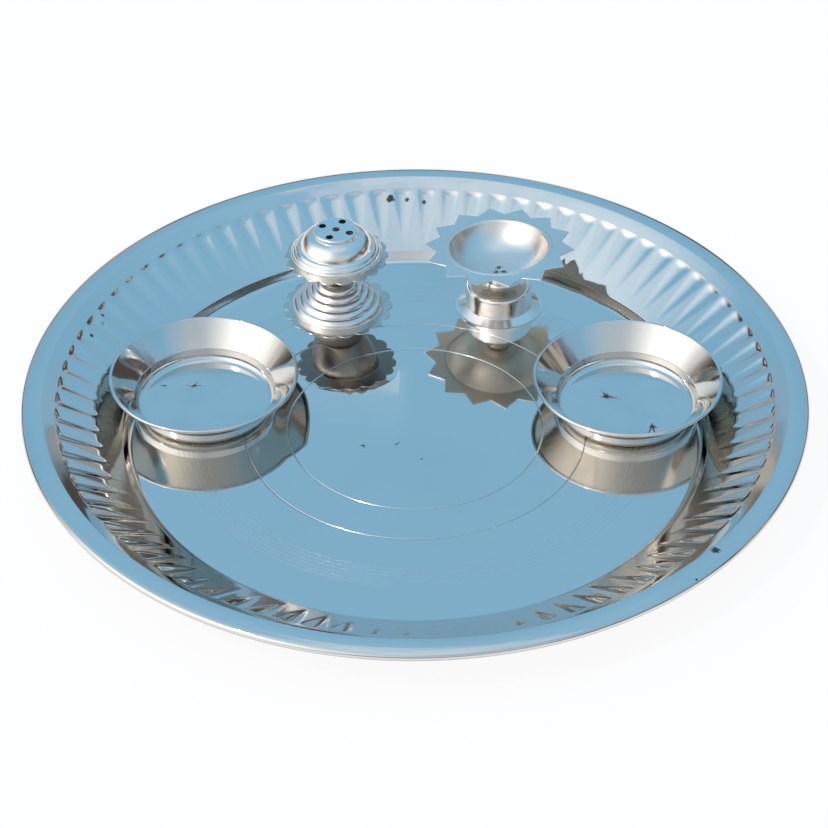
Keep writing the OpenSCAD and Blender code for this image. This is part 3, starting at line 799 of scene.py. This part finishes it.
lamp = {
    "gap": 5.3, "turn": 66.3, "sheet": 0.5, "turns": 224,
    "brimRadius": 17.8, "drumRadius": 14.1, "drumHeight": 11.8, "skirtHeight": 2.8, "seatHeight": 19.8,
    "neckRadius": 5.2, "seatCorner": 0.8, "seatLean": 84, "flareRadius": 3.4, "flareEnd": -10,
    "crestRadius": 10.2, "drumCorner": 2.4, "drumLean": 87, "skirtAngle": 36, "brimBend": 1, "groove": 0.35,
    "starRadius": 31, "notchRadius": 26, "starPoints": 14, "starTurn": 18.6, "edgeEase": 0.12,
    "dishRadius": 22.6, "dishDepth": 9.8, "dishToe": (2, 14), "dishSteep": 64, "dishBead": 1.5,
    "beadFall": 30, "beadFoot": 1, "leanBack": 3, "leanLeft": 2,
    # the pedestal is coloured lighter and warmer than the other steel, as painted reflected light on its drum
    "litPedestalLook": {"color": (0.92, 0.86, 0.80), "smearColor": (0.72, 0.66, 0.60), "rough": 0.15,
                     "smearRough": 0.07, "scratchScale": 120, "smearScale": 60, "lines": 2000,
                     # the under colour is a painted shade for the faces turned down
                     **wornLookAndUnderShade, "underShadeColor": (0.68, 0.62, 0.54)},
    "dishLook": {"color": (0.84, 0.79, 0.75), "smearColor": (0.76, 0.72, 0.68), "rough": 0.31,
                 "smearRough": 0.08, "scratchScale": 110, "smearScale": 50, "lines": 1800,
                 # the under colour is a painted shade for the faces turned down
                 **wornLookAndUnderShade, "underShadeColor": (0.68, 0.62, 0.54), "markDepth": 0.2},
    "welds": [((-0.2, -1.2, 1.0), 1.7), ((-1.5, -4.6, 1.0), 1.7), ((1.7, -4.6, 1.0), 1.7)],
}
lamp["at"] = placeOf(lamp["brimRadius"], lamp["gap"], lamp["turn"])


def makePedestal():
    p = lamp
    groove = p["groove"]

    def seatSteps(fall):
        return [(p["neckRadius"] - reach(p["seatCorner"], 0, p["seatLean"]),),
                (p["seatCorner"], -p["seatLean"]), (fall / math.sin(math.radians(p["seatLean"])),),
                (p["flareRadius"], p["seatLean"] + p["flareEnd"])]

    end = endOf(seatSteps(tiny))
    neckFall = p["seatHeight"] - p["drumHeight"] + end.y \
        - (p["crestRadius"] - end.x) * math.tan(math.radians(-p["flareEnd"]))
    seatReach = endOf(seatSteps(neckFall)).x

    def drumSteps(flat, fall):
        return seatSteps(neckFall) + [
            ((p["crestRadius"] - seatReach) / math.cos(math.radians(p["flareEnd"])),),
            (groove, -p["flareEnd"]), (flat,), (p["drumCorner"], -p["drumLean"]),
            (fall / math.sin(math.radians(p["drumLean"])),),
            (groove, p["drumLean"] - p["skirtAngle"])]

    drumFall = p["seatHeight"] - p["skirtHeight"] + endOf(drumSteps(tiny, tiny)).y
    drumFlat = p["drumRadius"] - endOf(drumSteps(tiny, drumFall)).x
    skirtTop = endOf(drumSteps(drumFlat, drumFall))
    skirtRun = (p["seatHeight"] + skirtTop.y - p["sheet"] - rise(p["brimBend"], p["skirtAngle"], 0)) \
        / math.sin(math.radians(p["skirtAngle"]))
    steps = drumSteps(drumFlat, drumFall) + [(skirtRun,), (p["brimBend"], p["skirtAngle"])]
    steps.append((p["brimRadius"] - endOf(steps).x,))
    rows = sheetRows(walkSection(steps, (0, p["seatHeight"])), p["sheet"])
    piece = spinRows("lampPedestal", rows, p["turns"], (*p["at"], tray["sheet"]))
    # the seat is bedded to the dish, which leans
    middle = Vector((*p["at"], tray["sheet"] + p["seatHeight"])) * mm
    up = leanMatrix().to_3x3() @ Vector((0, 0, 1))
    for v in piece.data.vertices:
        over = (v.co - middle).dot(up)
        if over > 0:
            v.co.z -= over / up.z
    return piece


def leanMatrix():
    return Euler((math.radians(-lamp["leanBack"]), math.radians(-lamp["leanLeft"]), 0)).to_matrix().to_4x4()


def starOutline(turns):
    p = lamp
    outline = []
    half = math.pi / p["starPoints"]
    tip, notch = p["starRadius"], p["notchRadius"]
    for k in range(turns):
        a = abs((2 * math.pi * k / turns + half) % (2 * half) - half)
        # straight line from the tip at angle 0 to the notch at angle half
        x0, y0, x1, y1 = tip, 0.0, notch * math.cos(half), notch * math.sin(half)
        nx, ny = y1 - y0, x0 - x1
        outline.append((nx * x0 + ny * y0) / (nx * math.cos(a) + ny * math.sin(a)))
    return outline


def makeStarDish():
    p = lamp
    toeRadius, toe = p["dishToe"]
    curve = (p["dishDepth"] - rise(toeRadius, 0, toe) - rise(p["dishBead"], p["dishSteep"], 0)) \
        / (math.cos(math.radians(toe)) - math.cos(math.radians(p["dishSteep"])))

    def dishSteps(flat):
        return [(flat,), (toeRadius, toe), (curve, p["dishSteep"] - toe),
                (p["dishBead"], -p["dishSteep"] - p["beadFall"]), (p["beadFoot"], p["beadFall"])]

    flat = p["dishRadius"] - endOf(dishSteps(tiny)).x
    line = walkSection(dishSteps(flat), (0, p["sheet"]), flat=4)
    rows = edgedRows(line, p["sheet"], starOutline(p["turns"]), p["edgeEase"])
    tilt = leanMatrix() @ Matrix.Rotation(math.radians(p["starTurn"]), 4, "Z")
    return spinRows("lampStarDish", rows, p["turns"], (*p["at"], tray["sheet"] + p["seatHeight"]), tilt)


dishBase = Vector((*lamp["at"], tray["sheet"] + lamp["seatHeight"]))
dishWelds = [(leanMatrix().to_3x3() @ Vector(place) + dishBase, width) for place, width in lamp["welds"]]
# the lighter, warmer pedestal colour is painted light
litPedestalMetal = polishedSteel("litPedestalSteel", lamp["at"], lamp["litPedestalLook"])
dishMetal = polishedSteel("dishSteel", lamp["at"], lamp["dishLook"], welds=dishWelds)
dress(makePedestal(), "oil_lamp", "lamp_pedestal", litPedestalMetal)
dress(makeStarDish(), "oil_lamp", "lamp_star_dish", dishMetal)


studio = {
    "floorColor": (0.93, 0.93, 0.93), "floorRough": 0.9, "floorGlow": 0.92, "floorHalf": 20.0,
    # colour of the sky by the height of the view: 0 is the horizon, 1 straight up
    "sky": [(0.0, (0.085, 0.074, 0.066)), (0.13, (0.085, 0.074, 0.068)), (0.20, (0.19, 0.24, 0.31)),
            (0.30, (0.30, 0.52, 0.72)), (0.50, (0.26, 0.55, 0.80)), (0.75, (0.29, 0.58, 0.83)),
            (0.91, (0.33, 0.61, 0.85)), (0.965, (0.56, 0.76, 0.94)), (1.0, (0.68, 0.85, 1.0))],
    "skyline": (9, 3), "skylineRise": 0.16,
    # pale walls: noise scale and detail, where they start, how sharp, and up to what height
    "wallColor": (0.52, 0.48, 0.43), "wallSpread": (2.7, 2), "wallFrom": 0.505, "wallEdge": 12,
    "wallTop": 0.26, "wallTopEdge": 14,
    "sideRise": 0.3, "farDrop": 0.09,
    # pale haze in the sky behind the viewer
    "hazeColor": (0.66, 0.68, 0.71), "hazeShare": 0.85, "hazeBehind": (-2.4, -0.75), "hazeOver": (6, -1.2),
    "glareFrom": (-0.80, -0.38, 0.47), "glareColor": (1.0, 0.98, 0.95), "glareStrength": 1.7,
    "glareShape": (0.5, 2.1, 1.9),
    "sunFrom": (-0.53, -0.36, 0.77), "sunStrength": 0.9, "sunSpread": 4.0,
}


def makeFloor():
    bm = bmesh.new()
    h = studio["floorHalf"]
    corners = [bm.verts.new(c) for c in ((-h, -h, 0), (h, -h, 0), (h, h, 0), (-h, h, 0))]
    bm.faces.new(corners)
    mesh = bpy.data.meshes.new("studioFloor")
    bm.to_mesh(mesh)
    bm.free()
    floor = bpy.data.objects.new("studioFloor", mesh)
    bpy.context.scene.collection.objects.link(floor)
    material = bpy.data.materials.new("paleFloor")
    material.use_nodes = True
    tree = material.node_tree
    shader = tree.nodes["Principled BSDF"]
    shader.inputs["Base Color"].default_value = (*studio["floorColor"], 1)
    shader.inputs["Roughness"].default_value = studio["floorRough"]
    path = tree.nodes.new("ShaderNodeLightPath")
    seen = mathNode(tree, "MAXIMUM", path.outputs["Is Glossy Ray"], path.outputs["Is Transmission Ray"])
    seen = mathNode(tree, "MAXIMUM", path.outputs["Is Camera Ray"], seen)
    white = tree.nodes.new("ShaderNodeEmission")
    white.inputs["Color"].default_value = (1, 1, 1, 1)
    mix = tree.nodes.new("ShaderNodeMixShader")
    wire(tree, mathNode(tree, "MULTIPLY", seen, studio["floorGlow"]), mix.inputs[0])
    wire(tree, shader.outputs[0], mix.inputs[1])
    wire(tree, white.outputs[0], mix.inputs[2])
    wire(tree, mix.outputs[0], tree.nodes["Material Output"].inputs["Surface"])
    mesh.materials.append(material)


def makeSky():
    world = bpy.data.worlds.new("sky")
    bpy.context.scene.world = world
    world.use_nodes = True
    tree = world.node_tree
    backdrop = tree.nodes["Background"]
    way = tree.nodes.new("ShaderNodeTexCoord").outputs["Generated"]
    parts = tree.nodes.new("ShaderNodeSeparateXYZ")
    wire(tree, way, parts.inputs[0])
    # a ragged skyline of dark shapes
    skyline = noiseNode(tree, way, *studio["skyline"])
    lift = mathNode(tree, "MULTIPLY", mathNode(tree, "SUBTRACT", skyline, 0.5), studio["skylineRise"])
    heightNow = mathNode(tree, "ADD", parts.outputs["Z"], lift)
    # the skyline stands higher to the left and right
    sides = mathNode(tree, "MULTIPLY", parts.outputs["X"], parts.outputs["X"])
    heightNow = mathNode(tree, "MULTIPLY_ADD", sides, -studio["sideRise"], heightNow)
    # and lower on the far side
    far = mathNode(tree, "MAXIMUM", parts.outputs["Y"], 0.0)
    far = mathNode(tree, "MULTIPLY", far, far)
    heightNow = mathNode(tree, "MULTIPLY_ADD", far, studio["farDrop"], heightNow)
    sky = rampNode(tree, heightNow, studio["sky"], "EASE")
    # pale walls stand here and there among the dark shapes
    pale = mathNode(tree, "SUBTRACT", noiseNode(tree, way, *studio["wallSpread"]), studio["wallFrom"])
    pale = mathNode(tree, "MULTIPLY", pale, studio["wallEdge"], clamp=True)
    low = mathNode(tree, "MULTIPLY", mathNode(tree, "SUBTRACT", studio["wallTop"], heightNow),
                   studio["wallTopEdge"], clamp=True)
    color = mixColor(tree, mathNode(tree, "MULTIPLY", pale, low), sky, studio["wallColor"])
    behind = mathNode(tree, "MULTIPLY_ADD", parts.outputs["Y"], *studio["hazeBehind"], clamp=True)
    over = mathNode(tree, "MULTIPLY_ADD", heightNow, *studio["hazeOver"], clamp=True)
    veil = mathNode(tree, "MULTIPLY", mathNode(tree, "MULTIPLY", behind, over), studio["hazeShare"])
    color = mixColor(tree, veil, color, studio["hazeColor"])
    toward = vectorNode(tree, "DOT_PRODUCT", way, Vector(studio["glareFrom"]).normalized())
    glareStart, glareRise, glarePower = studio["glareShape"]
    glare = mathNode(tree, "MULTIPLY", mathNode(tree, "SUBTRACT", toward, glareStart), glareRise, clamp=True)
    glareColor = [c * studio["glareStrength"] for c in studio["glareColor"]]
    color = mixColor(tree, mathNode(tree, "POWER", glare, glarePower), color, glareColor)
    wire(tree, color, backdrop.inputs["Color"])
    backdrop.inputs["Strength"].default_value = 1.0


def makeLamps():
    data = bpy.data.lights.new("softSun", "SUN")
    data.energy = studio["sunStrength"]
    data.angle = math.radians(studio["sunSpread"])
    lampObject = bpy.data.objects.new("softSun", data)
    lampObject.rotation_mode = "QUATERNION"
    lampObject.rotation_quaternion = (-Vector(studio["sunFrom"])).to_track_quat("-Z", "Y")
    bpy.context.scene.collection.objects.link(lampObject)


makeFloor()
makeSky()
makeLamps()
print("floor, sky and lamps are set")


camera = {
    "elevation": 38.94, "distance": 986.5, "focalPixels": 2500.0, "framePixels": 828,
    "roll": 0.26, "offset": (1.17, 12.08), "sensor": 36, "clip": (0.05, 100),
}


def makeCamera():
    c = camera
    data = bpy.data.cameras.new("photoView")
    data.sensor_width = c["sensor"]
    data.lens = c["sensor"] * c["focalPixels"] / c["framePixels"]
    data.clip_start, data.clip_end = c["clip"]
    view = bpy.data.objects.new("photoView", data)
    e = math.radians(c["elevation"])
    back = Vector((0, -math.cos(e), math.sin(e)))
    view.location = back * c["distance"] * mm + Vector((0, 0, tray["sheet"])) * mm
    view.rotation_mode = "QUATERNION"
    # the frame's middle lies a little off the tray's, so the camera turns by that much
    right = Vector((1, 0, 0))
    up = right.cross(-back)
    px, py = c["offset"]
    aim = -back - right * (px / c["focalPixels"]) + up * (py / c["focalPixels"])
    turn = aim.to_track_quat("-Z", "Y")
    roll = Matrix.Rotation(math.radians(c["roll"]), 3, aim.normalized()).to_quaternion()
    view.rotation_quaternion = roll @ turn
    bpy.context.scene.collection.objects.link(view)
    bpy.context.scene.camera = view


makeCamera()
scene = bpy.context.scene
scene.view_settings.view_transform = "Standard"
print("camera is set")
